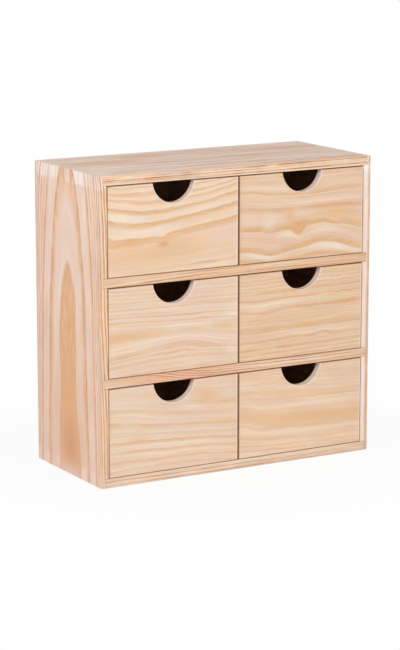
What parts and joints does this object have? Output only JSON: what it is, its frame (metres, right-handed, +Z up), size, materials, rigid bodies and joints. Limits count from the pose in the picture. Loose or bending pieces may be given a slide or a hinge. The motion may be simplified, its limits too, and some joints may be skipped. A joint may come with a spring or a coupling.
{
  "type": "desktop mini drawers",
  "caption": "Free-standing desktop chest of small loose drawers in unfinished pine, with flush fronts and half-round finger notches, for craft supplies and small parts.",
  "frame": {"origin": "middle of the case's underside, on the surface that the chest stands on", "axes": "+X across the chest to the viewer's right, +Y from the drawer fronts to the back, +Z up"},
  "size_m": [0.33, 0.147, 0.326],
  "materials": {
    "case_pine": "sanded bare pine, pinkish, with straight grain on the edges",
    "front_pine": "sanded bare pine, creamy, with broad honey-coloured grain",
    "plywood": "thin bare plywood",
    "steel": "bright flat-headed pins"
  },
  "bodies": {
    "case": {"left_side": "case_pine", "right_side": "case_pine", "top_panel": "case_pine", "bottom_panel": "case_pine", "lower_shelf": "case_pine", "upper_shelf": "case_pine", "back_panel": "plywood", "back_pins": "steel", "lower_divider": "plywood", "middle_divider": "plywood", "upper_divider": "plywood"},
    "lower_left_drawer": {"lower_left_drawer_front": "front_pine", "lower_left_drawer_left_side": "case_pine", "lower_left_drawer_right_side": "case_pine", "lower_left_drawer_back": "case_pine", "lower_left_drawer_bottom": "plywood", "lower_left_drawer_pins": "steel"},
    "lower_right_drawer": {"lower_right_drawer_front": "front_pine", "lower_right_drawer_left_side": "case_pine", "lower_right_drawer_right_side": "case_pine", "lower_right_drawer_back": "case_pine", "lower_right_drawer_bottom": "plywood", "lower_right_drawer_pins": "steel"},
    "middle_left_drawer": {"middle_left_drawer_front": "front_pine", "middle_left_drawer_left_side": "case_pine", "middle_left_drawer_right_side": "case_pine", "middle_left_drawer_back": "case_pine", "middle_left_drawer_bottom": "plywood", "middle_left_drawer_pins": "steel"},
    "middle_right_drawer": {"middle_right_drawer_front": "front_pine", "middle_right_drawer_left_side": "case_pine", "middle_right_drawer_right_side": "case_pine", "middle_right_drawer_back": "case_pine", "middle_right_drawer_bottom": "plywood", "middle_right_drawer_pins": "steel"},
    "upper_left_drawer": {"upper_left_drawer_front": "front_pine", "upper_left_drawer_left_side": "case_pine", "upper_left_drawer_right_side": "case_pine", "upper_left_drawer_back": "case_pine", "upper_left_drawer_bottom": "plywood", "upper_left_drawer_pins": "steel"},
    "upper_right_drawer": {"upper_right_drawer_front": "front_pine", "upper_right_drawer_left_side": "case_pine", "upper_right_drawer_right_side": "case_pine", "upper_right_drawer_back": "case_pine", "upper_right_drawer_bottom": "plywood", "upper_right_drawer_pins": "steel"}
  },
  "joints": [
    {"name": "lower_left_drawer_slide", "type": "slide", "parent": "case", "child": "lower_left_drawer", "axis": [0, -1, 0], "range_m": [0, 0.1465]},
    {"name": "lower_right_drawer_slide", "type": "slide", "parent": "case", "child": "lower_right_drawer", "axis": [0, -1, 0], "range_m": [0, 0.1465]},
    {"name": "middle_left_drawer_slide", "type": "slide", "parent": "case", "child": "middle_left_drawer", "axis": [0, -1, 0], "range_m": [0, 0.1465]},
    {"name": "middle_right_drawer_slide", "type": "slide", "parent": "case", "child": "middle_right_drawer", "axis": [0, -1, 0], "range_m": [0, 0.1465]},
    {"name": "upper_left_drawer_slide", "type": "slide", "parent": "case", "child": "upper_left_drawer", "axis": [0, -1, 0], "range_m": [0, 0.1465]},
    {"name": "upper_right_drawer_slide", "type": "slide", "parent": "case", "child": "upper_right_drawer", "axis": [0, -1, 0], "range_m": [0, 0.1465]}
  ]
}
